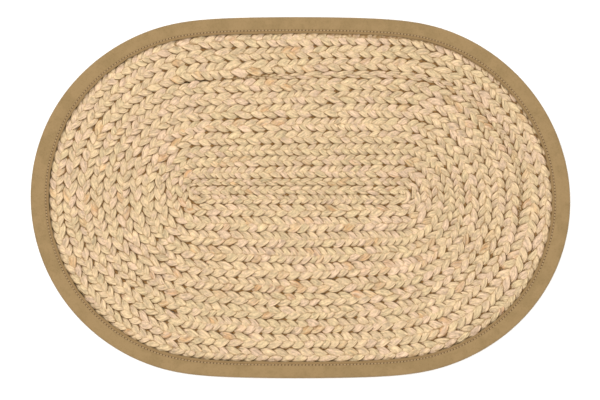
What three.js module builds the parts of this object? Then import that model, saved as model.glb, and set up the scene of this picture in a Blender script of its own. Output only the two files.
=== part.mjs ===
// Oval placemat: a flat braid wound into a spiral, its rim bound with folded cloth.
// Millimetres, Z up. The underside rests on Z = 0 and the long axis lies along X.

import * as THREE from 'three';

// Overall size
const MAT_LENGTH = 450;
const MAT_WIDTH = 302;
const MAT_THICKNESS = 5;

// The even oval: its ends are fuller than those of an ellipse
const END_FULLNESS = 63;
const END_SQUARENESS = 6.6;

// How far the handmade rim wanders from the even oval, by the number of waves round it
const RIM_WANDER = [
  { waves: 0, cosine: 0.4, sine: 0 },
  { waves: 1, cosine: -0.15, sine: -0.25 },
  { waves: 2, cosine: 0.2, sine: -0.6 },
  { waves: 3, cosine: 0.2, sine: -0.35 },
  { waves: 4, cosine: -0.4, sine: -0.25 },
];

// The binding: a strip of cloth folded over the rim, a little wider at the two ends
const CLOTH_THICKNESS = 1.2;
const BINDING_AT_SIDES = 14.3;
const BINDING_AT_ENDS = 15.8;
const FOLD_ROUNDING = 1.6;
const CLEARANCE = 0.3;

// The braid: the short spine it is wound round, and the grooves between its rows
const SPINE_LEFT = -87;
const SPINE_RIGHT = 84.6;
const SPINE_ABOVE_CENTRE = 2.6;
const GROOVE_DEPTH = 1.5;
const CREST_START = 0.26;
const CREST_END = 0.74;
const MEAN_REACH = 130;
const START_BLUNTNESS = 0.4;

// Distance from the spine to the outer edge of each turn of the braid, which is wound clockwise
const TURNS = [
  { top: 7.5, right: 8.1, bottom: 8.3, left: 6.7 },
  { top: 14.2, right: 15.7, bottom: 18.5, left: 15.4 },
  { top: 24.2, right: 25.4, bottom: 31.5, left: 25.0 },
  { top: 32.9, right: 35.4, bottom: 44.5, left: 35.0 },
  { top: 42.5, right: 44.1, bottom: 57.8, left: 45.4 },
  { top: 53.3, right: 52.5, bottom: 71.2, left: 55.8 },
  { top: 64.1, right: 64.1, bottom: 82.7, left: 66.6 },
  { top: 76.0, right: 75.4, bottom: 93.5, left: 77.5 },
  { top: 86.6, right: 86.6, bottom: 104.5, left: 88.3 },
  { top: 96.6, right: 97.5, bottom: 116.5, left: 99.5 },
  { top: 113.3, right: 115.0, bottom: 128.7, left: 111.0 },
  { top: 123.5, right: 126.0, bottom: 140.0, left: 123.0 },
  { top: 136.0, right: 138.0, bottom: 151.0, left: 135.0 },
];

// A short second length, joined in beside the eleventh turn along the top and the right end
const JOINED_LENGTH = { start: 10.14, full: 10.27, fading: 10.45, end: 10.58, width: 6.4 };

// Columns of faces round the mat: a multiple of four, so that one falls on each named side
const COLUMNS = 64;
const QUARTER = COLUMNS / 4;
const LAST_STEP = 12.5 * COLUMNS;

function evenOval(angle) {
  const endHalf = END_FULLNESS * Math.tanh(END_SQUARENESS * Math.cos(angle));
  const x = endHalf + (MAT_LENGTH / 2 - END_FULLNESS) * Math.cos(angle);
  const y = (MAT_WIDTH / 2) * Math.sin(angle);
  return new THREE.Vector2(x, y);
}

function outwardNormal(angle) {
  const step = 0.001;
  const along = evenOval(angle + step).sub(evenOval(angle - step)).normalize();
  return new THREE.Vector2(along.y, -along.x);
}

function rimWander(angle) {
  let sum = 0;
  for (const { waves, cosine, sine } of RIM_WANDER) {
    sum += cosine * Math.cos(waves * angle) + sine * Math.sin(waves * angle);
  }
  return sum;
}

function bindingWidth(angle) {
  const towardsEnd = Math.cos(angle) ** 2;
  return THREE.MathUtils.lerp(BINDING_AT_SIDES, BINDING_AT_ENDS, towardsEnd);
}

function insetPoint(angle, inset) {
  return evenOval(angle).addScaledVector(outwardNormal(angle), rimWander(angle) - inset);
}

// Angles that part the oval's edge into equal lengths, clockwise from the left end
function columnAngles() {
  const fineSteps = 4000;
  const angleAt = (i) => Math.PI - (2 * Math.PI * i) / fineSteps;
  const travelled = [0];
  for (let i = 1; i <= fineSteps; i += 1) {
    const stride = evenOval(angleAt(i)).distanceTo(evenOval(angleAt(i - 1)));
    travelled.push(travelled[i - 1] + stride);
  }
  const angles = [];
  let i = 0;
  for (let column = 0; column < COLUMNS; column += 1) {
    const wanted = (travelled[fineSteps] * column) / COLUMNS;
    while (travelled[i + 1] <= wanted) i += 1;
    const part = (wanted - travelled[i]) / (travelled[i + 1] - travelled[i]);
    angles.push(angleAt(i + part));
  }
  return angles;
}

// One column: its place on the spine, the direction it runs outwards and its length to the binding
function makeColumn(angle) {
  const evenEdge = evenOval(angle).addScaledVector(outwardNormal(angle), -bindingWidth(angle));
  const spineX = THREE.MathUtils.clamp(evenEdge.x, SPINE_LEFT, SPINE_RIGHT);
  const spine = new THREE.Vector2(spineX, SPINE_ABOVE_CENTRE);
  const outwards = insetPoint(angle, bindingWidth(angle)).sub(spine);
  const reach = outwards.length();
  return { angle, spine, reach, direction: outwards.divideScalar(reach) };
}

const columns = columnAngles().map(makeColumn);

// A point at a share of the way from the spine to the binding
function ringPoint(column, share) {
  const { spine, direction, reach } = columns[column % COLUMNS];
  const distance = share * (MEAN_REACH + (reach - MEAN_REACH) * share);
  return spine.clone().addScaledVector(direction, distance);
}

// The share at which ringPoint is that far from the spine
function shareAt(distance, reach) {
  const excess = reach - MEAN_REACH;
  const root = Math.sqrt(MEAN_REACH ** 2 + 4 * excess * distance);
  return (2 * distance) / (MEAN_REACH + root);
}

// The outer edge of the braid's row, as a share, at each quarter of a turn from the start
function edgeShares() {
  const sides = ['top', 'right', 'bottom', 'left'];
  const shares = [0];
  for (const turn of TURNS) {
    sides.forEach((side, i) => {
      const reach = columns[((i + 1) * QUARTER) % COLUMNS].reach;
      shares.push(Math.min(1, shareAt(turn[side], reach)));
    });
  }
  return shares;
}

const quarterShares = edgeShares();

// The braid's blunt start makes the first turns swell early in their first quarter
function edgeShareAt(turns) {
  const quarter = Math.min(Math.floor(turns * 4), quarterShares.length - 2);
  const evenPart = turns * 4 - quarter;
  let part = evenPart;
  if (quarter % 4 === 0) {
    const bluntPart = Math.min(1, evenPart / START_BLUNTNESS);
    part = THREE.MathUtils.lerp(evenPart, bluntPart, 1 / (quarter / 4 + 1));
  }
  return THREE.MathUtils.lerp(quarterShares[quarter], quarterShares[quarter + 1], part);
}

// Width of the joined length, which tapers to nothing at both ends
function joinedWidth(turns) {
  const { start, full, fading, end, width } = JOINED_LENGTH;
  const rise = THREE.MathUtils.smoothstep(turns, start, full);
  const fall = 1 - THREE.MathUtils.smoothstep(turns, fading, end);
  return width * rise * fall;
}

// The mat is first laid out flat: points that are crests or groove bottoms, and the faces between
function layOutRows() {
  const points = [];
  const faces = [];

  const addPoint = (place, isCrest) => {
    points.push({ x: place.x, y: place.y, isCrest });
    return points.length - 1;
  };
  const addFace = (a, b, c) => {
    if (a !== b && b !== c && c !== a) faces.push([a, b, c]);
  };

  // Groove along the spine, shared by the rows above and below it
  const spineGroove = [];
  for (let column = 0; column <= COLUMNS / 2; column += 1) {
    const before = column > 0 ? spineGroove[column - 1] : null;
    const isSame = before !== null && columns[column].spine.x === columns[column - 1].spine.x;
    spineGroove.push(isSame ? before : addPoint(columns[column].spine, false));
  }

  // Groove along the outer edge of every turn, which ends where it comes back to the binding
  const outerGroove = [spineGroove[0]];
  for (let step = 1; step < LAST_STEP; step += 1) {
    outerGroove.push(addPoint(ringPoint(step, edgeShareAt(step / COLUMNS)), false));
  }
  outerGroove.push(outerGroove[LAST_STEP - COLUMNS]);

  const innerGroove = (step) => {
    if (step >= COLUMNS) return outerGroove[step - COLUMNS];
    return spineGroove[Math.min(step, COLUMNS - step)];
  };

  // Groove between the joined length and the row beside it
  const joinGroove = new Map();
  const joinFrom = Math.ceil(JOINED_LENGTH.start * COLUMNS);
  const joinTo = Math.floor(JOINED_LENGTH.end * COLUMNS);
  for (let step = joinFrom; step <= joinTo; step += 1) {
    const width = joinedWidth(step / COLUMNS);
    const isEnd = step === joinFrom || step === joinTo;
    const inner = points[innerGroove(step)];
    const place = new THREE.Vector2(inner.x, inner.y).addScaledVector(columns[step % COLUMNS].direction, width);
    joinGroove.set(step, isEnd ? innerGroove(step) : addPoint(place, false));
  }

  // One row of braid between two grooves: a flank up, a flat crest and a flank down
  const addRow = (from, to, inner, outer) => {
    let previous = null;
    for (let step = from; step <= to; step += 1) {
      const [a, d] = [inner(step), outer(step)];
      let line = [a, a, a, a];
      if (a !== d) {
        const start = new THREE.Vector2(points[a].x, points[a].y);
        const end = new THREE.Vector2(points[d].x, points[d].y);
        const crest = [CREST_START, CREST_END].map((part) => addPoint(start.clone().lerp(end, part), true));
        line = [a, ...crest, d];
      }
      if (previous) {
        for (let i = 0; i < 3; i += 1) {
          addFace(previous[i], line[i + 1], previous[i + 1]);
          addFace(previous[i], line[i], line[i + 1]);
        }
      }
      previous = line;
    }
  };

  addRow(0, LAST_STEP, (step) => joinGroove.get(step) ?? innerGroove(step), (step) => outerGroove[step]);
  addRow(joinFrom, joinTo, innerGroove, (step) => joinGroove.get(step));

  // Thin hem of the mat that the binding covers
  const hemInset = CLOTH_THICKNESS + CLEARANCE;
  const hem = columns.map(({ angle }) => addPoint(insetPoint(angle, hemInset), false));
  for (let step = LAST_STEP - COLUMNS; step < LAST_STEP; step += 1) {
    const near = hem[step % COLUMNS];
    const far = hem[(step + 1) % COLUMNS];
    addFace(outerGroove[step], far, near);
    addFace(outerGroove[step], outerGroove[step + 1], far);
  }
  return { points, faces, hem };
}

function solidFrom(vertices, triangles) {
  const geometry = new THREE.BufferGeometry();
  geometry.setAttribute('position', new THREE.Float32BufferAttribute(vertices.flat(), 3));
  geometry.setIndex(triangles.flat());
  geometry.computeVertexNormals();
  return geometry;
}

// The layout is given its two faces, raised at the crests, and a wall round the hem
function braidGeometry() {
  const { points, faces, hem } = layOutRows();
  const depthOf = (point) => (point.isCrest ? 0 : GROOVE_DEPTH);
  const top = points.map((point) => [point.x, point.y, MAT_THICKNESS - depthOf(point)]);
  const bottom = points.map((point) => [point.x, point.y, depthOf(point)]);
  const under = points.length;
  const triangles = [];
  for (const [a, b, c] of faces) {
    triangles.push([a, b, c]);
    triangles.push([under + a, under + c, under + b]);
  }
  hem.forEach((near, i) => {
    const far = hem[(i + 1) % COLUMNS];
    triangles.push([near, far, under + far]);
    triangles.push([near, under + far, under + near]);
  });
  return solidFrom([...top, ...bottom], triangles);
}

// Section of the folded strip at one column: inset from the rim and height, round the outside
function bindingSection(angle) {
  const lip = bindingWidth(angle) - CLEARANCE;
  const high = MAT_THICKNESS;
  const softer = FOLD_ROUNDING * 0.3;
  return [
    { inset: 0, height: FOLD_ROUNDING },
    { inset: 0, height: high - FOLD_ROUNDING },
    { inset: softer, height: high - softer },
    { inset: FOLD_ROUNDING, height: high },
    { inset: lip, height: high },
    { inset: lip, height: high - CLOTH_THICKNESS },
    { inset: CLOTH_THICKNESS, height: high - CLOTH_THICKNESS },
    { inset: CLOTH_THICKNESS, height: CLOTH_THICKNESS },
    { inset: lip, height: CLOTH_THICKNESS },
    { inset: lip, height: 0 },
    { inset: FOLD_ROUNDING, height: 0 },
    { inset: softer, height: softer },
  ];
}

function bindingGeometry() {
  const vertices = [];
  const triangles = [];
  let size = 0;
  for (const { angle } of columns) {
    const section = bindingSection(angle);
    size = section.length;
    for (const { inset, height } of section) {
      const place = insetPoint(angle, inset);
      vertices.push([place.x, place.y, height]);
    }
  }
  for (let column = 0; column < COLUMNS; column += 1) {
    const here = column * size;
    const next = ((column + 1) % COLUMNS) * size;
    for (let i = 0; i < size; i += 1) {
      const j = (i + 1) % size;
      triangles.push([here + i, next + j, next + i]);
      triangles.push([here + i, here + j, next + j]);
    }
  }
  return solidFrom(vertices, triangles);
}

function makeMesh(name, geometry, color, roughness) {
  const material = new THREE.MeshStandardMaterial({ color, roughness, metalness: 0 });
  const mesh = new THREE.Mesh(geometry, material);
  mesh.name = name;
  return mesh;
}

const braidMat = makeMesh('braid_mat', braidGeometry(), 0xdfc79b, 0.75);
const edgeBinding = makeMesh('edge_binding', bindingGeometry(), 0xae9265, 0.9);

// The origin is under the middle of the rim
const placemat = new THREE.Group();
placemat.add(braidMat, edgeBinding);
const rimBox = new THREE.Box3().setFromObject(edgeBinding);
const middle = rimBox.getCenter(new THREE.Vector3());
for (const mesh of placemat.children) {
  mesh.position.set(-middle.x, -middle.y, 0);
}

export default placemat;
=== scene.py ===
import math

import bmesh
import bpy
import numpy as np
from mathutils import Matrix, Vector


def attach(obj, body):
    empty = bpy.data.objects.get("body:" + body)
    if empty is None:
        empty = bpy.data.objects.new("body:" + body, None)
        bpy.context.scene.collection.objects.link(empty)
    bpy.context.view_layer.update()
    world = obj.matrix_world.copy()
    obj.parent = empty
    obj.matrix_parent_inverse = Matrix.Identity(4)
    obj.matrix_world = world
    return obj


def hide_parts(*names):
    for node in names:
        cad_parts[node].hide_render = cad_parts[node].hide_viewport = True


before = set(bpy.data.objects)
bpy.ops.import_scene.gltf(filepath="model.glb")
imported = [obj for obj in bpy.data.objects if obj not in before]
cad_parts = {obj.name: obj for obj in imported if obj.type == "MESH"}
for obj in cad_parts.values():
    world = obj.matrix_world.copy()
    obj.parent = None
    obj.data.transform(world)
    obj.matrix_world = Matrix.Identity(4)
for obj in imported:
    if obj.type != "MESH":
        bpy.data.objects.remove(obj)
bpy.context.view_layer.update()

bl_info = {
    "name": "Braided Placemat",
    "version": (1, 0, 0),
    "blender": (4, 5, 0),
    "location": "3D View > Sidebar > Placemat",
    "description": "Adds an oval placemat of wound banana fiber braid with a folded cloth binding",
    "category": "Add Mesh",
}

# Lengths are in metres. The mat lies on z = 0 with its long axis along x.
MM = 0.001

# Overall size
MAT_LENGTH = 450 * MM
MAT_WIDTH = 302 * MM
MAT_THICKNESS = 5 * MM
MIDDLE_HEIGHT = MAT_THICKNESS / 2

# The even oval: its ends are fuller than those of an ellipse
END_FULLNESS = 63 * MM
END_SQUARENESS = 6.6

# How far the handmade rim wanders from the even oval, by the number of waves round it
RIM_WANDER = [
    {"waves": 0, "cosine": 0.4 * MM, "sine": 0.0},
    {"waves": 1, "cosine": -0.15 * MM, "sine": -0.25 * MM},
    {"waves": 2, "cosine": 0.2 * MM, "sine": -0.6 * MM},
    {"waves": 3, "cosine": 0.2 * MM, "sine": -0.35 * MM},
    {"waves": 4, "cosine": -0.4 * MM, "sine": -0.25 * MM},
]

# The binding: a strip of cloth folded over the rim, a little wider at the two ends
BINDING_AT_SIDES = 14.3 * MM
BINDING_AT_ENDS = 15.8 * MM
BINDING_LENGTH = 1200 * MM
LIP_CLEARANCE = 0.3 * MM
SEAM_FROM_LIP = 2.7 * MM

# The short spine that the braid is wound round
SPINE_LEFT = -87 * MM
SPINE_RIGHT = 84.6 * MM
SPINE_ABOVE_CENTRE = 2.6 * MM
MEAN_REACH = 130 * MM
START_BLUNTNESS = 0.4

# Millimetres from the spine to the outer edge of each turn of the braid, which is wound clockwise
TURNS = [
    {"top": 7.5, "right": 8.1, "bottom": 8.3, "left": 6.7},
    {"top": 14.2, "right": 15.7, "bottom": 18.5, "left": 15.4},
    {"top": 24.2, "right": 25.4, "bottom": 31.5, "left": 25.0},
    {"top": 32.9, "right": 35.4, "bottom": 44.5, "left": 35.0},
    {"top": 42.5, "right": 44.1, "bottom": 57.8, "left": 45.4},
    {"top": 53.3, "right": 52.5, "bottom": 71.2, "left": 55.8},
    {"top": 64.1, "right": 64.1, "bottom": 82.7, "left": 66.6},
    {"top": 76.0, "right": 75.4, "bottom": 93.5, "left": 77.5},
    {"top": 86.6, "right": 86.6, "bottom": 104.5, "left": 88.3},
    {"top": 96.6, "right": 97.5, "bottom": 116.5, "left": 99.5},
    {"top": 113.3, "right": 115.0, "bottom": 128.7, "left": 111.0},
    {"top": 123.5, "right": 126.0, "bottom": 140.0, "left": 123.0},
    {"top": 136.0, "right": 138.0, "bottom": 151.0, "left": 135.0},
]
BRAID_START = 0.012
BRAID_END = 12.5

# A short second length, joined in beside the eleventh turn along the top and the right end
JOINED_LENGTH = {"start": 10.14, "full": 10.27, "fading": 10.45, "end": 10.58, "width": 6.4 * MM}
JOINED_TIP = 0.02

# The share of the joined length's taper that is tucked in under its neighbours
TUCKED_IN = 0.2

# The section of a strand: 1 is an ellipse, and a lower value is squarer
FULLNESS = 0.75

# Half the width and half the thickness of the twine that sews the rows together
TWINE_WIDTH = 1.3 * MM
TWINE_THICKNESS = 0.35 * MM

# How finely the meshes are divided
RINGS_PER_PLAIT = 20
STRAND_SIDES = 10
BINDING_STEPS = 1100
THREAD_SIDES = 6
RINGS_PER_STITCH = 6
TWINE_STEP = 4 * MM
STRAND_NAMES = ["a", "b", "c"]

# The solid model has this many columns of faces round the mat
SOLID_COLUMNS = 64

# The point of the mat that the camera looks straight down on
VIEW_CENTRE = (-0.33 * MM, -1.96 * MM)

# Painted shade in the needle's holes along the seam
NEEDLE_HOLE_SHADE = (0.055, 0.03, 0.012, 1.0)


class BraidSettings(bpy.types.PropertyGroup):
    strand_share: bpy.props.FloatProperty(
        name="Strand width",
        description="Half the width of a strand as a share of its row's width",
        default=0.295,
        min=0.15,
        max=0.4,
    )
    strand_thickness: bpy.props.FloatProperty(
        name="Strand thickness",
        description="Thickness of a pressed strand",
        default=2.0 * MM,
        unit="LENGTH",
    )
    lift: bpy.props.FloatProperty(
        name="Lift",
        description="How far a strand rises and falls as it passes over and under the others",
        default=0.95 * MM,
        unit="LENGTH",
    )
    lead: bpy.props.FloatProperty(
        name="Lead",
        description="How early a strand rises before it crosses the middle of the row",
        default=math.radians(8),
        subtype="ANGLE",
    )
    overlap: bpy.props.FloatProperty(
        name="Overlap",
        description="How far the strands of neighbouring rows press into each other",
        default=0.9 * MM,
        unit="LENGTH",
    )
    roll: bpy.props.FloatProperty(
        name="Roll",
        description="Slope of a strand across its width where it crosses the middle of the row",
        default=0.3,
    )
    lobe_near_spine: bpy.props.FloatProperty(
        name="Lobe spacing near the spine",
        description="Distance between lobes along the innermost row",
        default=7.6 * MM,
        unit="LENGTH",
    )
    lobe_near_rim: bpy.props.FloatProperty(
        name="Lobe spacing near the rim",
        description="Distance between lobes along the outermost row",
        default=9.9 * MM,
        unit="LENGTH",
    )
    unevenness: bpy.props.FloatProperty(
        name="Unevenness",
        description="How much the handmade lobes differ in length and width",
        default=0.22,
        subtype="FACTOR",
        min=0.0,
        max=0.4,
    )
    straw: bpy.props.FloatVectorProperty(
        name="Straw",
        description="Main colour of the dry fiber",
        default=(0.56, 0.405, 0.235),
        subtype="COLOR",
        size=3,
    )
    rosy: bpy.props.FloatVectorProperty(
        name="Rosy straw",
        description="Colour of the pinkish lobes",
        default=(0.575, 0.403, 0.262),
        subtype="COLOR",
        size=3,
    )
    green: bpy.props.FloatVectorProperty(
        name="Greenish straw",
        description="Colour of the lobes that dried green",
        default=(0.54, 0.403, 0.226),
        subtype="COLOR",
        size=3,
    )
    stain: bpy.props.FloatVectorProperty(
        name="Stain",
        description="Colour of the brown stains on some lobes",
        default=(0.45, 0.22, 0.075),
        subtype="COLOR",
        size=3,
    )
    # Painted shade: brown painted on the strands' sides where they meet and where a strand dips under
    # another
    painted_edge_shade: bpy.props.FloatVectorProperty(
        name="Golden edge",
        description="Colour of the sides of the strands, where they meet",
        default=(0.22, 0.115, 0.03),
        subtype="COLOR",
        size=3,
    )
    # Painted shade: dark brown painted on the fiber deep between the lobes; also the base of the joining
    # twine's own colour
    hollow_shade_and_twine: bpy.props.FloatVectorProperty(
        name="Hollows",
        description="Colour of the fiber deep between the lobes",
        default=(0.16, 0.085, 0.03),
        subtype="COLOR",
        size=3,
    )


class BindingSettings(bpy.types.PropertyGroup):
    cloth_thickness: bpy.props.FloatProperty(
        name="Cloth thickness",
        description="Thickness of the folded strip of cloth",
        default=1.2 * MM,
        unit="LENGTH",
    )
    fold_depth: bpy.props.FloatProperty(
        name="Fold depth",
        description="How far in from the rim the fold is round",
        default=2.4 * MM,
        unit="LENGTH",
    )
    seam_dent: bpy.props.FloatProperty(
        name="Seam dent",
        description="How deep the seam pulls the cloth in",
        default=0.45 * MM,
        unit="LENGTH",
    )
    weave_spacing: bpy.props.FloatProperty(
        name="Weave spacing",
        description="Distance between the threads of the plain weave",
        default=0.6 * MM,
        unit="LENGTH",
    )
    khaki: bpy.props.FloatVectorProperty(
        name="Khaki",
        description="Main colour of the cloth",
        default=(0.283, 0.185, 0.083),
        subtype="COLOR",
        size=3,
    )
    # Mottled cloth colour, also used for painted shade along the lip's edge
    shade: bpy.props.FloatVectorProperty(
        name="Shaded khaki",
        description="Colour of the cloth where it is mottled or pulled in",
        default=(0.2, 0.132, 0.053),
        subtype="COLOR",
        size=3,
    )
    # Colour of the darker, redder band of cloth from the lip to just past the seam
    pressed: bpy.props.FloatVectorProperty(
        name="Pressed khaki",
        description="Colour of the cloth between its lip and the seam",
        default=(0.22, 0.132, 0.055),
        subtype="COLOR",
        size=3,
    )


class SeamSettings(bpy.types.PropertyGroup):
    stitch_pitch: bpy.props.FloatProperty(
        name="Stitch pitch",
        description="Distance from one stitch to the next",
        default=2.7 * MM,
        unit="LENGTH",
    )
    thread_width: bpy.props.FloatProperty(
        name="Thread width",
        description="Width of the sewing thread",
        default=0.6 * MM,
        unit="LENGTH",
    )
    thread: bpy.props.FloatVectorProperty(
        name="Thread",
        description="Colour of the sewing thread",
        default=(0.4, 0.275, 0.145),
        subtype="COLOR",
        size=3,
    )


class StageSettings(bpy.types.PropertyGroup):
    camera_height: bpy.props.FloatProperty(
        name="Camera height",
        description="Height of the camera above the mat's upper face",
        default=1.1806,
        unit="LENGTH",
    )
    lens: bpy.props.FloatProperty(
        name="Lens",
        description="Focal length of the camera in millimetres",
        default=85.0,
    )
    key_power: bpy.props.FloatProperty(
        name="Key light",
        description="Power of the large soft light",
        default=22.0,
        unit="POWER",
    )
    room_light: bpy.props.FloatProperty(
        name="Room light",
        description="Strength of the even light from all round",
        default=0.95,
    )
    floor: bpy.props.FloatVectorProperty(
        name="Floor",
        description="Colour of the plain floor",
        default=(0.96, 0.96, 0.96),
        subtype="COLOR",
        size=3,
    )


# The mat in plan


def even_oval(angle):
    end_half = END_FULLNESS * np.tanh(END_SQUARENESS * np.cos(angle))
    x = end_half + (MAT_LENGTH / 2 - END_FULLNESS) * np.cos(angle)
    y = MAT_WIDTH / 2 * np.sin(angle)
    return np.stack([x, y], axis=-1)


def outward_normal(angle):
    along = even_oval(angle + 0.001) - even_oval(angle - 0.001)
    along = along / np.linalg.norm(along, axis=-1, keepdims=True)
    return np.stack([along[..., 1], -along[..., 0]], axis=-1)


def rim_wander(angle):
    wander = np.zeros_like(angle)
    for wave in RIM_WANDER:
        turned = wave["waves"] * angle
        wander = wander + wave["cosine"] * np.cos(turned) + wave["sine"] * np.sin(turned)
    return wander


def binding_width(angle):
    towards_end = np.cos(angle) ** 2
    return BINDING_AT_SIDES + (BINDING_AT_ENDS - BINDING_AT_SIDES) * towards_end


def inset_point(angle, inset):
    outwards = (rim_wander(angle) - inset)[..., None]
    return even_oval(angle) + outward_normal(angle) * outwards


def edge_table():
    """Angles round the oval, clockwise from the left end, and the share of its edge travelled to each."""
    angles = math.pi - 2 * math.pi * np.arange(8001) / 8000
    strides = np.linalg.norm(np.diff(even_oval(angles), axis=0), axis=1)
    travelled = np.concatenate([[0.0], np.cumsum(strides)])
    return angles, travelled / travelled[-1]


EDGE_ANGLES, EDGE_SHARES = edge_table()


def angle_at(turns):
    return np.interp(np.mod(turns, 1.0), EDGE_SHARES, EDGE_ANGLES)


def rim_middle():
    """The middle of the rim's box over the columns of the solid model."""
    rim = inset_point(angle_at(np.arange(SOLID_COLUMNS) / SOLID_COLUMNS), np.zeros(SOLID_COLUMNS))
    return (rim.min(axis=0) + rim.max(axis=0)) / 2


RIM_MIDDLE = rim_middle()


def column_at(turns):
    """The place on the spine, the direction outwards and the distance to the binding, at each turn."""
    angle = angle_at(turns)
    width = binding_width(angle)
    even_edge = even_oval(angle) - outward_normal(angle) * width[:, None]
    spine_x = np.clip(even_edge[:, 0], SPINE_LEFT, SPINE_RIGHT)
    spine = np.stack([spine_x, np.full_like(spine_x, SPINE_ABOVE_CENTRE)], axis=1)
    outwards = inset_point(angle, width) - spine
    reach = np.linalg.norm(outwards, axis=1)
    return spine - RIM_MIDDLE, outwards / reach[:, None], reach


def share_at(distance, reach):
    """The share at which ring_point is that far from the spine."""
    root = math.sqrt(MEAN_REACH**2 + 4 * (reach - MEAN_REACH) * distance)
    return 2 * distance / (MEAN_REACH + root)


def edge_shares():
    """The outer edge of the row as a share of the way to the binding, at each quarter of a turn."""
    reaches = column_at(np.array([0.25, 0.5, 0.75, 0.0]))[2]
    shares = [0.0]
    for turn in TURNS:
        for side, reach in zip(("top", "right", "bottom", "left"), reaches):
            shares.append(share_at(turn[side] * MM, reach))
    return np.array(shares)


QUARTER_SHARES = edge_shares()


def edge_share_at(turns):
    quarter = np.minimum(np.floor(turns * 4).astype(int), len(QUARTER_SHARES) - 2)
    even_part = turns * 4 - quarter
    blunt_part = np.minimum(1.0, even_part / START_BLUNTNESS)
    bluntness = np.where(quarter % 4 == 0, 1 / (quarter / 4 + 1), 0.0)
    part = even_part + (blunt_part - even_part) * bluntness
    return QUARTER_SHARES[quarter] * (1 - part) + QUARTER_SHARES[quarter + 1] * part


def ring_point(turns, share):
    spine, direction, reach = column_at(turns)
    distance = share * (MEAN_REACH + (reach - MEAN_REACH) * share)
    return spine + direction * distance[:, None]


def smooth_step(low, high, value):
    part = np.clip((value - low) / (high - low), 0.0, 1.0)
    return part * part * (3 - 2 * part)


def joined_width(turns):
    """Width of the joined length, whose thin tips are tucked in under its neighbours."""
    start, full, fading, end, width = JOINED_LENGTH.values()
    rise = smooth_step(start + TUCKED_IN * (full - start), full, turns)
    fall = 1 - smooth_step(fading, end - TUCKED_IN * (end - fading), turns)
    return width * rise * fall


def inner_groove(turns):
    share = np.where(turns >= 1, edge_share_at(np.maximum(turns - 1, 0.0)), 0.0)
    return ring_point(turns, share)


def braid_edges(turns):
    """The two edges of the wound braid's row. The joined length takes some of its room."""
    direction = column_at(turns)[1]
    inner = inner_groove(turns) + direction * joined_width(turns)[:, None]
    return inner, ring_point(turns, edge_share_at(turns))


def joined_edges(turns):
    direction = column_at(turns)[1]
    inner = inner_groove(turns)
    return inner, inner + direction * joined_width(turns)[:, None]


# Strands


def gentle_noise(random, place, spacing):
    """Smooth random wander along a path, about one unit high, with a new value at each spacing."""
    count = int(place[-1] / spacing) + 3
    values = random.normal(size=count)
    whole = np.floor(place / spacing).astype(int)
    part = place / spacing - whole
    part = part * part * (3 - 2 * part)
    return values[whole] * (1 - part) + values[whole + 1] * part


def plait_row(edges, first, last, settings, random):
    """Places along a row at even steps of the plait: turns, phase, distance travelled."""
    turns = np.linspace(first, last, 30000)
    inner, outer = edges(turns)
    middle = (inner + outer) / 2
    strides = np.linalg.norm(np.diff(middle, axis=0), axis=1)
    travelled = np.concatenate([[0.0], np.cumsum(strides)])
    near_rim = np.clip(turns / 9.0, 0.0, 1.0)
    spacing = settings.lobe_near_spine + (settings.lobe_near_rim - settings.lobe_near_spine) * near_rim
    uneven = gentle_noise(random, travelled, 0.013) + 0.6 * gentle_noise(random, travelled, 0.06)
    spacing = spacing * np.clip(1 + settings.unevenness * uneven, 0.6, 1.5)
    row_width = np.linalg.norm(outer - inner, axis=1)
    spacing = spacing * np.clip(row_width / (5.5 * MM), 0.4, 1.0)
    steps = strides / (3 * (spacing[1:] + spacing[:-1]) / 2)
    phase = 2 * math.pi * np.concatenate([[0.0], np.cumsum(steps)])
    count = int(phase[-1] / (2 * math.pi) * RINGS_PER_PLAIT)
    even_phase = np.arange(count + 1) * 2 * math.pi / RINGS_PER_PLAIT
    return np.interp(even_phase, phase, turns), even_phase, np.interp(even_phase, phase, travelled)


def lobe_tints(random, phase):
    """Marks along a strand: each lobe's hue and lightness, nearness to the row's middle, and stain."""
    quarters = phase / (math.pi / 2)
    count = int(quarters[-1]) + 3
    strip = np.repeat(random.normal(size=(count // 14 + 1, 2)), 14, axis=0)[:count]
    lobes = random.normal(size=(count, 2)) * 0.75 + strip * 0.5
    stained = (random.random(count) < 0.08).astype(float) * random.uniform(0.4, 1.0, count)
    values = np.column_stack([lobes, stained])
    whole = np.floor(quarters - 0.5).astype(int)
    part = smooth_step(0.3, 0.7, quarters - 0.5 - whole)[:, None]
    whole = np.maximum(whole, 0)
    mixed = values[whole] * (1 - part) + values[whole + 1] * part
    hue, light = (0.5 + 0.22 * mixed[:, :2]).T
    return np.clip(np.column_stack([hue, light, np.abs(np.cos(phase)), mixed[:, 2]]), 0.0, 1.0)


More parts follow.
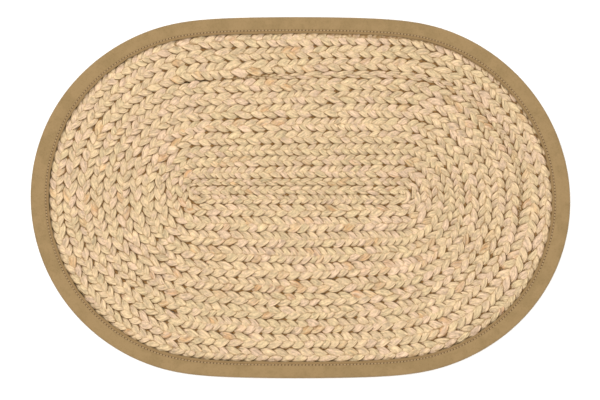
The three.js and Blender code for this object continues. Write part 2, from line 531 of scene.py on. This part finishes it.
def strand_rings(edges, row, offset, settings, random):
    """The rings of points round one strand of the plait, whose lobes narrow towards their tips."""
    turns, even_phase, travelled = row
    phase = even_phase + offset
    inner, outer = edges(turns)
    across = outer - inner
    row_width = np.linalg.norm(across, axis=1)
    across = across / np.maximum(row_width, 1e-6)[:, None]
    uneven = 1 + settings.unevenness * 0.55 * gentle_noise(random, travelled, 0.011)
    leaf = 1 + 0.12 * np.cos(2 * phase - 0.9)
    half = settings.strand_share * row_width * leaf * np.clip(uneven, 0.7, 1.3)
    half = np.clip(half, 0.2 * MM, 4.6 * MM)
    half_thick = np.minimum(settings.strand_thickness / 2, half * 0.6)
    overlap = settings.overlap * np.clip(row_width / (10 * MM), 0.0, 1.0) ** 2
    room = row_width * (0.5 - settings.strand_share) + overlap
    sideways = np.sin(phase) * room + 0.3 * MM * gentle_noise(random, travelled, 0.016)
    lift = settings.lift * np.clip(row_width / (7 * MM), 0.2, 1.0)
    early = settings.lead * (0.5 + 0.5 * np.cos(phase) ** 2) + 0.25 * np.sin(2 * phase)
    height = lift * np.sin(2 * phase + early) + 0.1 * MM * gentle_noise(random, travelled, 0.014)
    flat = (inner + outer) / 2 + across * sideways[:, None]
    centre = np.column_stack([flat, MIDDLE_HEIGHT + height])
    along = np.gradient(centre, axis=0)
    along = along / np.linalg.norm(along, axis=1, keepdims=True)
    side = np.cross([0.0, 0.0, 1.0], along)
    side = side / np.linalg.norm(side, axis=1, keepdims=True)
    up = np.cross(along, side)
    roll = np.arctan(settings.roll * np.cos(phase)) + 0.07 * gentle_noise(random, travelled, 0.012)
    turned_side = side * np.cos(roll)[:, None] + up * np.sin(roll)[:, None]
    turned_up = up * np.cos(roll)[:, None] - side * np.sin(roll)[:, None]
    angles = 2 * math.pi * np.arange(STRAND_SIDES) / STRAND_SIDES
    wide = np.sign(np.cos(angles)) * np.abs(np.cos(angles)) ** FULLNESS
    thick = np.sign(np.sin(angles)) * np.abs(np.sin(angles)) ** FULLNESS
    rings = (
        centre[:, None, :]
        + turned_side[:, None, :] * (half[:, None] * wide)[..., None]
        + turned_up[:, None, :] * (half_thick[:, None] * thick)[..., None]
    )
    return press_under_binding(rings, turns)


def joining_rings(edge, first, last, step, seed):
    """Rings round the thread that joins one row to the next, in the groove between them."""
    random = np.random.default_rng(seed)
    turns = np.linspace(first, last, 40000)
    fine = edge(turns)
    strides = np.linalg.norm(np.diff(fine, axis=0), axis=1)
    travelled = np.concatenate([[0.0], np.cumsum(strides)])
    even = np.linspace(0.0, travelled[-1], int(travelled[-1] / step))
    turns = np.interp(even, travelled, turns)
    flat = edge(turns)
    along = np.gradient(flat, axis=0)
    along = along / np.linalg.norm(along, axis=1, keepdims=True)
    side = np.column_stack([-along[:, 1], along[:, 0], np.zeros(len(even))])
    drift = 0.25 * MM * gentle_noise(random, even, 0.009)
    centre = np.column_stack([flat, np.full(len(even), MIDDLE_HEIGHT)]) + side * drift[:, None]
    angles = 2 * math.pi * np.arange(THREAD_SIDES + 1) / THREAD_SIDES
    rings = (
        centre[:, None, :]
        + side[:, None, :] * (TWINE_WIDTH * np.cos(angles))[None, :, None]
        + np.array([0.0, 0.0, 1.0]) * (TWINE_THICKNESS * np.sin(angles))[None, :, None]
    )
    rings[:, -1] = rings[:, 0]
    return even, rings


def spine_edge(turns):
    """The line along the spine, between the first row and its way back."""
    part = turns[:, None]
    left = np.array([SPINE_LEFT, SPINE_ABOVE_CENTRE]) - RIM_MIDDLE
    right = np.array([SPINE_RIGHT, SPINE_ABOVE_CENTRE]) - RIM_MIDDLE
    return left * (1 - part) + right * part


def press_under_binding(rings, turns):
    """Flattens the strands where they slip between the two faces of the folded cloth."""
    spine, direction, reach = column_at(turns)
    outwards = ((rings[..., :2] - spine[:, None, :]) * direction[:, None, :]).sum(axis=-1)
    beyond = outwards - reach[:, None]
    pressed = 1 - 0.64 * smooth_step(-3.2 * MM, 0.4 * MM, beyond)
    height = MIDDLE_HEIGHT + (rings[..., 2] - MIDDLE_HEIGHT) * pressed
    rings[..., 2] = np.clip(height, 0.02 * MM, MAT_THICKNESS - 0.02 * MM)
    return rings


# Meshes


def close_up(rings):
    """The last ring falls exactly on the first, and the last column on the first."""
    rings[-1] = rings[0]
    rings[:, -1] = rings[:, 0]
    return rings


def wrap_grid(name, rings, along, around, is_tube, is_loop, tints=None):
    """A mesh made from a flat grid whose columns close round each ring, or whose rings close in a loop."""
    count = len(rings)
    columns = rings.shape[1]
    shape = bmesh.new()
    shape.loops.layers.uv.new("Strip")
    bmesh.ops.create_grid(shape, x_segments=columns - 1, y_segments=count - 1, size=0.5)
    mesh = bpy.data.meshes.new(name)
    shape.to_mesh(mesh)
    if len(mesh.vertices) != count * columns:
        raise RuntimeError(f"{name}: the grid has {len(mesh.vertices)} points, not {count * columns}")
    mesh.vertices.foreach_set("co", rings.astype(np.float32).ravel())
    corner = np.zeros(len(mesh.loops), np.int32)
    mesh.loops.foreach_get("vertex_index", corner)
    strip = np.column_stack([along[corner // columns], around[corner % columns]])
    mesh.uv_layers["Strip"].data.foreach_set("uv", strip.astype(np.float32).ravel())
    if tints is not None:
        tint = mesh.attributes.new("Tint", "FLOAT_COLOR", "POINT")
        spread = np.repeat(tints, columns, axis=0)
        tint.data.foreach_set("color", spread.astype(np.float32).ravel())
    shape.clear()
    shape.from_mesh(mesh)
    shape.verts.ensure_lookup_table()
    doubled = set()
    if is_tube:
        doubled.update(range(0, count * columns, columns))
        doubled.update(range(columns - 1, count * columns, columns))
    if is_loop:
        doubled.update(range(columns))
        doubled.update(range((count - 1) * columns, count * columns))
    bmesh.ops.remove_doubles(shape, verts=[shape.verts[i] for i in sorted(doubled)], dist=1e-6)
    if is_tube and not is_loop:
        open_ends = [edge for edge in shape.edges if edge.is_boundary]
        bmesh.ops.holes_fill(shape, edges=open_ends, sides=0)
    bmesh.ops.recalc_face_normals(shape, faces=shape.faces)
    for face in shape.faces:
        face.smooth = True
    shape.to_mesh(mesh)
    shape.free()
    return mesh


def add_piece(name, mesh, finish):
    piece = bpy.data.objects.new(name, mesh)
    bpy.context.scene.collection.objects.link(piece)
    mesh.materials.append(finish)
    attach(piece, "root")
    return piece


def add_strands(group, edges, first, last, settings, seed, finish):
    """Three strands plaited along a row."""
    random = np.random.default_rng(seed)
    row = plait_row(edges, first, last, settings, random)
    strands = []
    for number, letter in enumerate(STRAND_NAMES):
        offset = 2 * math.pi * number / 3
        rings = strand_rings(edges, row, offset, settings, random)
        rings = np.concatenate([rings, rings[:, :1]], axis=1)
        around = np.arange(STRAND_SIDES + 1) / STRAND_SIDES
        tints = lobe_tints(random, row[1] + offset)
        mesh = wrap_grid(f"{group}_{letter}", rings, row[2], around, True, False, tints)
        strands.append(add_piece(f"{group}_{letter}", mesh, finish))
    return strands


# Materials


class Link:
    """One output of a material's nodes. Arithmetic on it adds the nodes that work the result out."""

    def __init__(self, finish, socket):
        self.finish = finish
        self.socket = socket

    def calculate(self, operation, first, second):
        return self.finish.node("ShaderNodeMath", {"operation": operation}, {0: first, 1: second})

    def __add__(self, other):
        return self.calculate("ADD", self, other)

    def __radd__(self, other):
        return self.calculate("ADD", other, self)

    def __sub__(self, other):
        return self.calculate("SUBTRACT", self, other)

    def __rsub__(self, other):
        return self.calculate("SUBTRACT", other, self)

    def __mul__(self, other):
        return self.calculate("MULTIPLY", self, other)

    def __truediv__(self, other):
        return self.calculate("DIVIDE", self, other)

    def __abs__(self):
        return self.calculate("ABSOLUTE", self, 0.0)


class Finish:
    """A material whose nodes are added one expression at a time."""

    def __init__(self, name, roughness, specular):
        self.material = bpy.data.materials.new(name)
        self.material.use_nodes = True
        self.tree = self.material.node_tree
        self.shader = next(node for node in self.tree.nodes if node.type == "BSDF_PRINCIPLED")
        self.shader.inputs["Roughness"].default_value = roughness
        self.shader.inputs["Specular IOR Level"].default_value = specular

    def node(self, kind, settings, values, output=0):
        made = self.tree.nodes.new(kind)
        for name, value in settings.items():
            setattr(made, name, value)
        for socket, value in values.items():
            if isinstance(value, Link):
                self.tree.links.new(value.socket, made.inputs[socket])
            else:
                made.inputs[socket].default_value = value
        return Link(self, made.outputs[output])

    def separate(self, vector):
        made = self.node("ShaderNodeSeparateXYZ", {}, {0: vector})
        outputs = made.socket.node.outputs
        return [Link(self, outputs[number]) for number in range(3)]

    def join(self, x, y, z):
        return self.node("ShaderNodeCombineXYZ", {}, {0: x, 1: y, 2: z})

    def ease(self, value, low, high):
        """Nought below low and one above high, with a smooth passage between them."""
        settings = {"interpolation_type": "SMOOTHSTEP"}
        return self.node("ShaderNodeMapRange", settings, {0: value, 1: low, 2: high})

    def noise(self, vector, scale, detail=2.0):
        values = {"Vector": vector, "Scale": scale, "Detail": detail}
        return self.node("ShaderNodeTexNoise", {}, values)

    def sine(self, value):
        return self.node("ShaderNodeMath", {"operation": "SINE"}, {0: value})

    def mix(self, factor, first, second):
        """The first colour where the factor is nought, the second where it is one."""
        return self.node("ShaderNodeMix", {"data_type": "RGBA"}, {0: factor, 6: first, 7: second}, 2)

    def scale(self, colour, factor):
        first = colour if isinstance(colour, Link) else colour[:3]
        return self.node("ShaderNodeVectorMath", {"operation": "SCALE"}, {0: first, 3: factor})

    def feed(self, socket, value):
        self.tree.links.new(value.socket, self.shader.inputs[socket])

    def bump(self, height, distance, strength):
        values = {"Height": height, "Distance": distance, "Strength": strength}
        return self.node("ShaderNodeBump", {}, values)


def with_alpha(colour):
    return (colour[0], colour[1], colour[2], 1.0)


def fiber_finish(settings):
    """Dry banana fiber: streaks along each strand and a tint for each lobe, with painted shade at the
    strands' sides, in their folds and in the hollows between lobes, and a painted highlight towards the
    sides.
    """
    finish = Finish("banana_fiber", 0.62, 0.3)
    strip = finish.node("ShaderNodeUVMap", {"uv_map": "Strip"}, {})
    along, around, _ = finish.separate(strip)
    place = finish.node("ShaderNodeTexCoord", {}, {}, 3)
    height = finish.separate(place)[2]
    tint = finish.node("ShaderNodeAttribute", {"attribute_name": "Tint"}, {}, 0)
    hue, light, crossing = finish.separate(tint)
    stained = finish.node("ShaderNodeAttribute", {"attribute_name": "Tint"}, {}, 3)

    # Tint of each lobe, uneven within it, and its stains
    patch = finish.noise(place, 300.0, 3.0)
    hue = hue + (patch - 0.5) * 1.1
    colour = finish.mix(finish.ease(hue, 0.5, 0.85), with_alpha(settings.straw), with_alpha(settings.rosy))
    colour = finish.mix(finish.ease(hue, 0.5, 0.15), colour, with_alpha(settings.green))
    blotch = finish.noise(finish.join(along * 90.0, around * 8.0, 9.0), 1.0, 3.0)
    colour = finish.mix(stained * finish.ease(blotch, 0.35, 0.65) * 0.7, colour, with_alpha(settings.stain))

    # Streaks, creases, folds and grain, drawn out along the strand
    streak = finish.noise(finish.join(along * 130.0, around * 7.0, 0.0), 1.0, 3.0)
    streak = finish.ease(streak, 0.38, 0.62)
    crease = finish.noise(finish.join(along * 240.0, around * 15.0, 4.0), 1.0, 2.0)
    crease = finish.ease(crease, 0.35, 0.65)
    # Painted shade: thin dark lines along the leaf's folds; the same lines also dent the bump
    fold = finish.noise(finish.join(along * 100.0, around * 8.0, 7.0), 1.0, 1.0)
    fold_line = 1.0 - finish.ease(abs(fold - 0.5), 0.0, 0.06)
    from_middle = abs(abs(around * 2.0 - 1.0) - 0.5)
    # Painted highlight: each strand lighter away from the middle of its face, towards its sides
    rim_highlight = finish.ease(from_middle, 0.05, 0.2)
    grain = finish.noise(finish.join(along * 560.0, around * 24.0, 2.0), 1.0, 1.0)
    grain = finish.ease(grain, 0.35, 0.65)
    even = 0.6 + light * 0.18 + rim_highlight * 0.08
    brightness = even + streak * 0.2 + crease * 0.3 + grain * 0.18 - fold_line * 0.1
    colour = finish.scale(colour, brightness)

    # Painted shade: darker brown at the sides, where a strand dips under another, and dark brown deep down
    # between the strands
    depth = abs(height - MIDDLE_HEIGHT) / MIDDLE_HEIGHT
    shadowed = finish.ease(finish.noise(place, 420.0, 1.0), 0.4, 0.6)
    centred = finish.ease(crossing, 0.35, 1.0) * 0.75
    beside = finish.ease(from_middle, 0.31, 0.39) * (0.14 + centred) * (0.55 + shadowed * 0.6)
    dipping_shade = finish.ease(depth, 0.6, 0.35) * finish.ease(crossing, 0.35, 0.8) * (0.5 + shadowed * 0.4)
    colour = finish.mix(beside, colour, with_alpha(settings.painted_edge_shade))
    colour = finish.mix(dipping_shade, colour, with_alpha(settings.painted_edge_shade))
    # Painted shade: dark brown where the fiber lies deep, near the mat's middle height
    sunk_shade = finish.ease(depth, 0.2, 0.0)
    colour = finish.mix(sunk_shade * 0.7, colour, with_alpha(settings.hollow_shade_and_twine))

    finish.feed("Base Color", colour)
    finish.feed("Roughness", 0.5 + streak * 0.25)
    finish.feed("Normal", finish.bump(streak + crease * 0.4 - fold_line * 0.6, 0.4 * MM, 0.9))
    return finish.material


def cloth_finish(settings, seam):
    """Khaki plain weave, faintly mottled, with a darker, redder band from the lip to the seam, and painted
    shade along the lip's edge and in the needle's holes.
    """
    finish = Finish("binding_cloth", 0.85, 0.2)
    strip = finish.node("ShaderNodeUVMap", {"uv_map": "Strip"}, {})
    along, from_lip, _ = finish.separate(strip)
    place = finish.node("ShaderNodeTexCoord", {}, {}, 3)

    turn = 2 * math.pi / settings.weave_spacing
    warp = finish.sine(along * turn)
    weft = finish.sine(from_lip * turn)
    weave = warp * weft * 0.5 + 0.5

    mottle = finish.noise(place, 90.0, 3.0)
    fleck = finish.noise(place, 700.0, 2.0)
    # A darker, redder band from the lip to just past the seam, flecked unevenly
    lip_band = 1.0 - finish.ease(from_lip, SEAM_FROM_LIP - 0.6 * MM, SEAM_FROM_LIP + 1.6 * MM)
    # Painted shade: a dark line along the lip's edge, where the cloth meets the braid
    lip_shade = 1.0 - finish.ease(from_lip, 0.2 * MM, 0.9 * MM)
    worn = finish.ease(mottle, 0.4, 0.65) * 0.35 + finish.ease(fleck, 0.45, 0.7) * 0.3
    colour = finish.mix(worn, with_alpha(settings.khaki), with_alpha(settings.shade))
    colour = finish.mix(lip_band * (0.35 + fleck * 0.5), colour, with_alpha(settings.pressed))
    colour = finish.mix(lip_shade * 0.4, colour, with_alpha(settings.shade))

    # Painted shade: near-black spots at the needle's holes along the seam
    stitch = finish.sine(along * (math.pi / seam.stitch_pitch))
    hole_shade = 1.0 - finish.ease(abs(stitch), 0.3, 0.75)
    on_seam = 1.0 - finish.ease(abs(from_lip - SEAM_FROM_LIP), 0.4 * MM, 0.8 * MM)
    colour = finish.mix(hole_shade * on_seam * 0.8, colour, NEEDLE_HOLE_SHADE)
    colour = finish.scale(colour, 0.94 + weave * 0.12)

    finish.feed("Base Color", colour)
    finish.feed("Normal", finish.bump(weave + fleck * 0.4, 0.1 * MM, 0.5))
    return finish.material


def joining_finish(settings):
    """Dull brown twine, nearly hidden between the rows."""
    finish = Finish("joining_twine", 0.85, 0.1)
    strip = finish.node("ShaderNodeUVMap", {"uv_map": "Strip"}, {})
    along, around, _ = finish.separate(strip)
    twist = finish.sine(along * 2500.0 + around * 2 * math.pi)
    # The twine's own dull brown, made from the painted shade colour of the hollows
    colour = finish.scale(with_alpha(settings.hollow_shade_and_twine), 1.4 + twist * 0.2)
    finish.feed("Base Color", colour)
    finish.feed("Normal", finish.bump(twist, 0.1 * MM, 0.5))
    return finish.material


def thread_finish(settings):
    """Twisted sewing thread."""
    finish = Finish("seam_thread", 0.7, 0.3)
    place = finish.node("ShaderNodeTexCoord", {}, {}, 3)
    fluff = finish.noise(place, 2500.0, 2.0)
    colour = finish.scale(with_alpha(settings.thread), 0.8 + fluff * 0.4)
    finish.feed("Base Color", colour)
    finish.feed("Normal", finish.bump(fluff, 0.1 * MM, 0.5))
    return finish.material


def floor_finish(settings):
    finish = Finish("pale_floor", 0.9, 0.0)
    place = finish.node("ShaderNodeTexCoord", {}, {}, 3)
    cloud = finish.noise(place, 3.0, 1.0)
    colour = finish.scale(with_alpha(settings.floor), 0.995 + cloud * 0.01)
    finish.feed("Base Color", colour)
    return finish.material


# The binding


def upper_height(inset, width, settings):
    """Height of the cloth's outer face above the middle of the mat, by distance from the rim."""
    bend = 2.3
    fold = np.clip(1 - inset / settings.fold_depth, 0.0, 1.0)
    rounded = MIDDLE_HEIGHT * (1 - fold**bend) ** (1 / bend)
    from_seam = inset - (width - SEAM_FROM_LIP)
    dent = settings.seam_dent * np.exp(-((from_seam / (0.95 * MM)) ** 2))
    from_lip = width - inset
    drop = 0.25 * MM * (1 - smooth_step(0.0, 1.2 * MM, from_lip))
    return rounded - dent - drop


def binding_rings(settings):
    """Sections of the folded strip round the rim, from its upper lip over the fold to its lower lip."""
    share = np.arange(BINDING_STEPS + 1) / BINDING_STEPS
    angle = angle_at(share)
    width = binding_width(angle) - LIP_CLEARANCE
    round_part = 1 - np.cos(np.linspace(0, math.pi / 2, 6))
    parts = np.concatenate([round_part * settings.fold_depth, [4.2 * MM, 6.5 * MM, 9 * MM]])
    from_lip = np.array([4.6, 3.6, 3.2, 2.7, 2.2, 1.8, 1.2, 0.5, 0.0]) * MM
    by_rim = np.repeat(parts[None, :], len(share), axis=0)
    insets = np.concatenate([by_rim, width[:, None] - from_lip[None, :]], axis=1)
    random = np.random.default_rng(21)
    length = share * BINDING_LENGTH
    pucker = gentle_noise(random, length, 0.009) + gentle_noise(random, length, 0.024)
    blend = smooth_step(0.0, 0.03, share) * (1 - smooth_step(0.97, 1.0, share))
    pucker = pucker * blend
    height = upper_height(insets, width[:, None], settings)
    lip = gentle_noise(random, length, 0.006) * blend
    near_lip = 1 - smooth_step(0.0, 2.2 * MM, width[:, None] - insets)
    insets = insets + lip[:, None] * near_lip * 0.22 * MM
    loose = smooth_step(0.0, 5 * MM, insets)
    upper = height - np.abs(pucker)[:, None] * loose * 0.07 * MM
    insets = np.concatenate([insets[:, ::-1], insets[:, 1:]], axis=1)
    heights = np.concatenate([upper[:, ::-1], -upper[:, 1:]], axis=1)
    rings = np.zeros((len(share), insets.shape[1], 3))
    for number in range(insets.shape[1]):
        rings[:, number, :2] = inset_point(angle, insets[:, number]) - RIM_MIDDLE
    rings[..., 2] = MIDDLE_HEIGHT + heights
    rings[-1] = rings[0]
    from_lip = (width[:, None] - insets).mean(axis=0).round(6)
    return share, rings, from_lip


def seam_count(settings):
    """Whole number of stitches round the mat."""
    angle = angle_at(np.arange(2001) / 2000)
    line = inset_point(angle, binding_width(angle) - LIP_CLEARANCE - SEAM_FROM_LIP)
    length = np.linalg.norm(np.diff(line, axis=0), axis=1).sum()
    return round(length / settings.stitch_pitch)


def thread_rings(face, settings, seam, count, seed):
    """Rings round the thread that shows on one face, low at the needle holes and high between them."""
    random = np.random.default_rng(seed)
    steps = count * RINGS_PER_STITCH
    share = np.arange(steps + 1) / steps
    stitches = share * count
    angle = angle_at(share)
    tug = np.repeat(random.normal(size=count), RINGS_PER_STITCH)
    tug = np.append(tug, tug[0])
    slant = 0.1 * MM * np.sin(2 * math.pi * stitches)
    inset = binding_width(angle) - LIP_CLEARANCE - SEAM_FROM_LIP + slant
    arch = np.abs(np.sin(math.pi * stitches))
    height = MIDDLE_HEIGHT - settings.seam_dent - 0.5 * MM + arch * (0.62 + 0.05 * tug) * MM
    line = inset_point(angle, inset) - RIM_MIDDLE
    centre = np.column_stack([line, MIDDLE_HEIGHT + face * height])
    outwards = np.column_stack([outward_normal(angle), np.zeros(steps + 1)])
    turns = 2 * math.pi * np.arange(THREAD_SIDES + 1) / THREAD_SIDES
    thick = seam.thread_width / 2 * (0.72 + 0.28 * arch)
    rings = (
        centre[:, None, :]
        + outwards[:, None, :] * (thick[:, None] * np.cos(turns))[..., None]
        + np.array([0.0, 0.0, 1.0]) * (thick[:, None] * np.sin(turns))[..., None]
    )
    return share, close_up(rings)


# Operators


class PLACEMAT_OT_set_stage(bpy.types.Operator):
    """Set the camera, the soft lights and the pale floor"""

    bl_idname = "placemat.set_stage"
    bl_label = "Set Stage"

    def execute(self, context):
        settings = context.scene.placemat_stage
        self.add_camera(context, settings)
        self.add_lights(context, settings)
        self.add_floor(context, settings)
        return {"FINISHED"}

    def add_camera(self, context, settings):
        data = bpy.data.cameras.new("camera")
        data.lens = settings.lens
        data.sensor_width = 36.0
        data.clip_start = 0.01
        data.clip_end = 20.0
        camera = bpy.data.objects.new("camera", data)
        camera.location = (*VIEW_CENTRE, MAT_THICKNESS + settings.camera_height)
        context.scene.collection.objects.link(camera)
        context.scene.camera = camera

    def add_lights(self, context, settings):
        self.add_soft_light(context, "key_light", (-0.2, 0.25, 1.7), 1.5, settings.key_power)
        world = bpy.data.worlds.new("room")
        world.use_nodes = True
        background = next(node for node in world.node_tree.nodes if node.type == "BACKGROUND")
        background.inputs["Color"].default_value = (1.0, 1.0, 1.0, 1.0)
        background.inputs["Strength"].default_value = settings.room_light
        context.scene.world = world
        context.scene.view_settings.view_transform = "Standard"

    def add_soft_light(self, context, name, place, size, power):
        data = bpy.data.lights.new(name, "AREA")
        data.shape = "SQUARE"
        data.size = size
        data.energy = power
        light = bpy.data.objects.new(name, data)
        light.location = place
        light.rotation_euler = (-Vector(place)).to_track_quat("-Z", "Y").to_euler()
        context.scene.collection.objects.link(light)

    def add_floor(self, context, settings):
        shape = bmesh.new()
        below = Matrix.Translation((0.0, 0.0, -0.3 * MM))
        bmesh.ops.create_grid(shape, x_segments=1, y_segments=1, size=2.5, matrix=below)
        mesh = bpy.data.meshes.new("floor")
        shape.to_mesh(mesh)
        shape.free()
        mesh.materials.append(floor_finish(settings))
        floor = bpy.data.objects.new("floor", mesh)
        context.scene.collection.objects.link(floor)


class PLACEMAT_OT_wind_braid(bpy.types.Operator):
    """Plait three strands of banana fiber and wind them into the oval spiral"""

    bl_idname = "placemat.wind_braid"
    bl_label = "Wind Braid"

    def execute(self, context):
        settings = context.scene.placemat_braid
        finish = fiber_finish(settings)
        strands = add_strands("strand", braid_edges, BRAID_START, BRAID_END, settings, 7, finish)
        start = JOINED_LENGTH["start"] + JOINED_TIP
        end = JOINED_LENGTH["end"] - JOINED_TIP
        strands += add_strands("joined_strand", joined_edges, start, end, settings, 8, finish)
        for strand in strands:
            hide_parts("braid_mat")
        self.join_rows(joining_finish(settings))
        return {"FINISHED"}

    def join_rows(self, finish):
        """The threads that sew each row to the next, deep in the grooves."""
        start = JOINED_LENGTH["start"] + JOINED_TIP
        end = JOINED_LENGTH["end"] - JOINED_TIP
        lines = [
            ("spine_thread", spine_edge, 0.0, 1.0, 30),
            ("row_thread", lambda turns: braid_edges(turns)[1], 0.06, 11.6, 31),
            ("joined_thread", lambda turns: joined_edges(turns)[1], start, end, 32),
        ]
        for name, edge, first, last, seed in lines:
            even, rings = joining_rings(edge, first, last, TWINE_STEP, seed)
            around = np.arange(THREAD_SIDES + 1) / THREAD_SIDES
            mesh = wrap_grid(name, rings, even, around, True, False)
            add_piece(name, mesh, finish)


class PLACEMAT_OT_fold_binding(bpy.types.Operator):
    """Fold the strip of khaki cloth over the rim and sew it on"""

    bl_idname = "placemat.fold_binding"
    bl_label = "Fold Binding"

    def execute(self, context):
        settings = context.scene.placemat_binding
        seam = context.scene.placemat_seam
        count = seam_count(seam)
        share, rings, from_lip = binding_rings(settings)
        along = share * count * seam.stitch_pitch
        mesh = wrap_grid("binding", rings, along, from_lip, False, True)
        binding = add_piece("binding", mesh, cloth_finish(settings, seam))
        wall = binding.modifiers.new("Cloth thickness", "SOLIDIFY")
        wall.thickness = settings.cloth_thickness
        wall.offset = -1.0
        wall.use_even_offset = True
        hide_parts("edge_binding")
        threads = self.sew(settings, seam, count)
        return {"FINISHED"}

    def sew(self, settings, seam, count):
        """A thread on each face of the binding, which dips into the cloth between two stitches."""
        finish = thread_finish(seam)
        threads = []
        for name, face, seed in (("upper_thread", 1, 5), ("lower_thread", -1, 6)):
            share, rings = thread_rings(face, settings, seam, count, seed)
            around = np.arange(THREAD_SIDES + 1) / THREAD_SIDES * math.pi * seam.thread_width
            mesh = wrap_grid(name, rings, share * count * seam.stitch_pitch, around, True, True)
            threads.append(add_piece(name, mesh, finish))
        return threads


class PLACEMAT_PT_sidebar(bpy.types.Panel):
    """Lists the steps of making the placemat"""

    bl_label = "Placemat"
    bl_idname = "PLACEMAT_PT_sidebar"
    bl_space_type = "VIEW_3D"
    bl_region_type = "UI"
    bl_category = "Placemat"

    def draw(self, context):
        for settings, operator in (
            ("placemat_stage", "placemat.set_stage"),
            ("placemat_braid", "placemat.wind_braid"),
            ("placemat_binding", "placemat.fold_binding"),
            ("placemat_seam", None),
        ):
            box = self.layout.box()
            group = getattr(context.scene, settings)
            for name in group.__annotations__:
                box.prop(group, name)
            if operator:
                box.operator(operator)


SETTINGS = {
    "placemat_braid": BraidSettings,
    "placemat_binding": BindingSettings,
    "placemat_seam": SeamSettings,
    "placemat_stage": StageSettings,
}
CLASSES = [
    PLACEMAT_OT_set_stage,
    PLACEMAT_OT_wind_braid,
    PLACEMAT_OT_fold_binding,
    PLACEMAT_PT_sidebar,
]


def register():
    for name, group in SETTINGS.items():
        bpy.utils.register_class(group)
        setattr(bpy.types.Scene, name, bpy.props.PointerProperty(type=group))
    for made in CLASSES:
        bpy.utils.register_class(made)


def unregister():
    for made in reversed(CLASSES):
        bpy.utils.unregister_class(made)
    for name, group in SETTINGS.items():
        delattr(bpy.types.Scene, name)
        bpy.utils.unregister_class(group)


def main():
    register()
    bpy.ops.placemat.set_stage()
    bpy.ops.placemat.wind_braid()
    bpy.ops.placemat.fold_binding()


if __name__ == "__main__":
    main()
